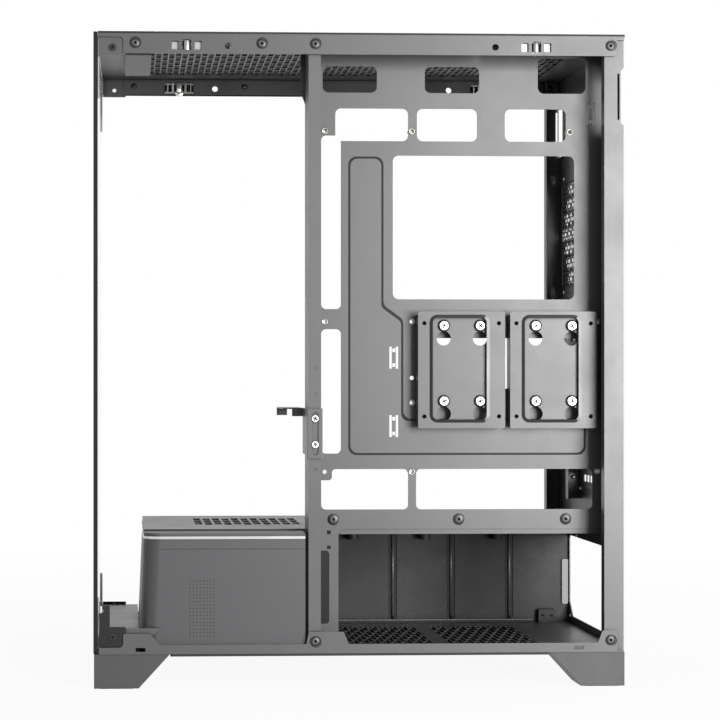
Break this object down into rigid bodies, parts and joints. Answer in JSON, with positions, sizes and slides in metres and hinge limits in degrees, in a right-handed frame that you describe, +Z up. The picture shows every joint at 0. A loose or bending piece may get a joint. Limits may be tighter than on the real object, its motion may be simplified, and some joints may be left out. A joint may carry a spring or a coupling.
{
  "type": "mid-tower computer case",
  "caption": "Black steel tower case for a full-size board, open on both sides, with a glass front, a covered power supply bay, drive brackets and magnetic dust filters.",
  "frame": {"origin": "middle of the case's outline, on the surface that it stands on", "axes": "+X to the rear panel, +Y to the side where the board's parts are, +Z up"},
  "size_m": [0.433, 0.23, 0.5315],
  "materials": {
    "black_steel": "fine satin powder coat",
    "black_plastic": "fine satin moulding",
    "bright_trim": "polished strip",
    "dark_glass": "tinted, polished",
    "circuit_board": "solder mask",
    "steel": "plated",
    "brass": "plain",
    "foam": "open foam"
  },
  "bodies": {
    "case": {"bottom_panel": "black_steel", "top_frame": "black_steel", "rear_panel": "black_steel", "motherboard_tray": "black_steel", "middle_post": "black_steel", "supply_shroud": "black_steel", "shroud_cover": "black_plastic", "cover_trim": "bright_trim", "front_ledge": "black_steel", "front_glass": "dark_glass", "top_filter": "black_plastic", "base_filter": "black_plastic", "control_panel": "black_plastic", "control_board": "circuit_board", "control_floor": "black_plastic", "usb_port_1": "steel", "usb_port_2": "steel", "small_port": "steel", "headset_jack": "steel", "microphone_jack": "steel", "card_shelf": "black_steel", "cable_block": "black_plastic", "supply_seal": "foam", "slot_cover_1": "black_steel", "slot_cover_2": "black_steel", "slot_cover_3": "black_steel", "slot_cover_4": "black_steel", "slot_cover_5": "black_steel", "slot_cover_6": "black_steel", "slot_cover_7": "black_steel", "drive_bracket_1": "black_steel", "drive_bracket_2": "black_steel", "near_rail_stiffener": "black_steel", "near_front_clip": "steel", "near_front_foot": "black_plastic", "near_rear_clip": "steel", "near_rear_foot": "black_plastic", "near_upper_tongue": "steel", "near_upper_bracket": "black_steel", "near_lower_tongue": "steel", "near_lower_bracket": "black_steel", "far_rail_stiffener": "black_steel", "far_front_clip": "steel", "far_front_foot": "black_plastic", "far_rear_clip": "steel", "far_rear_foot": "black_plastic", "far_upper_tongue": "steel", "far_upper_bracket": "black_steel", "far_lower_tongue": "steel", "far_lower_bracket": "black_steel", "rivets": "steel", "holder_screws": "steel", "bracket_screws": "steel", "card_screws": "steel", "drive_screws": "steel", "standoffs": "brass"},
    "holder": {"card_holder": "black_steel"},
    "power_switch": {"power_button": "black_plastic"},
    "reset_switch": {"reset_button": "black_plastic"}
  },
  "joints": [
    {"name": "holder_slide", "type": "slide", "parent": "case", "child": "holder", "axis": [0, 0, 1], "range_m": [-0.003, 0.006]},
    {"name": "power_press", "type": "slide", "parent": "case", "child": "power_switch", "axis": [0, 0, -1], "range_m": [0, 0.0012], "stiffness_N_per_m": 900, "springref_m": -0.0008},
    {"name": "reset_press", "type": "slide", "parent": "case", "child": "reset_switch", "axis": [0, 0, -1], "range_m": [0, 0.0012], "stiffness_N_per_m": 600, "springref_m": -0.0006}
  ]
}
